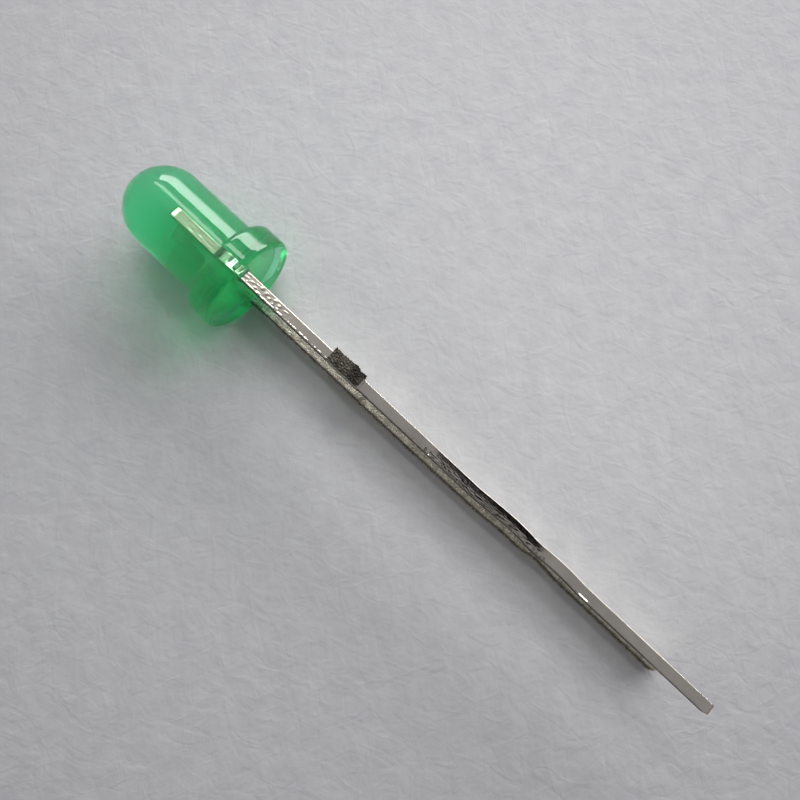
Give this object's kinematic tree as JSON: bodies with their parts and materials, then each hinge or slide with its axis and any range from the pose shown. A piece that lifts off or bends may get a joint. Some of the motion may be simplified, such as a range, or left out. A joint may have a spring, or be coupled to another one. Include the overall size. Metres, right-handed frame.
{
  "type": "through hole led",
  "caption": "Round through hole indicator diode with a tinted domed lens, a flanged seat with a flat, and a pair of straight solderable leads.",
  "frame": {"origin": "centre of the lens's flat seat, on the axis of the barrel", "axes": "+X out through the dome, leads along -X; +Z towards the anode lead, -Z towards the flat of the flange that it lies on"},
  "size_m": [0.0252, 0.0038, 0.0035],
  "materials": {
    "tinted_epoxy": "glossy cast epoxy, green and slightly milky",
    "tinned_steel": "bright tin over stamped steel strip",
    "chip": "sawn semiconductor chip",
    "silver_epoxy": "dull silver-filled adhesive",
    "gold_wire": "drawn gold wire"
  },
  "bodies": {
    "root": {"epoxy_lens": "tinted_epoxy", "anode_lead": "tinned_steel", "cathode_lead": "tinned_steel", "led_chip": "chip", "chip_adhesive": "silver_epoxy", "bond_wire": "gold_wire"}
  },
  "joints": []
}
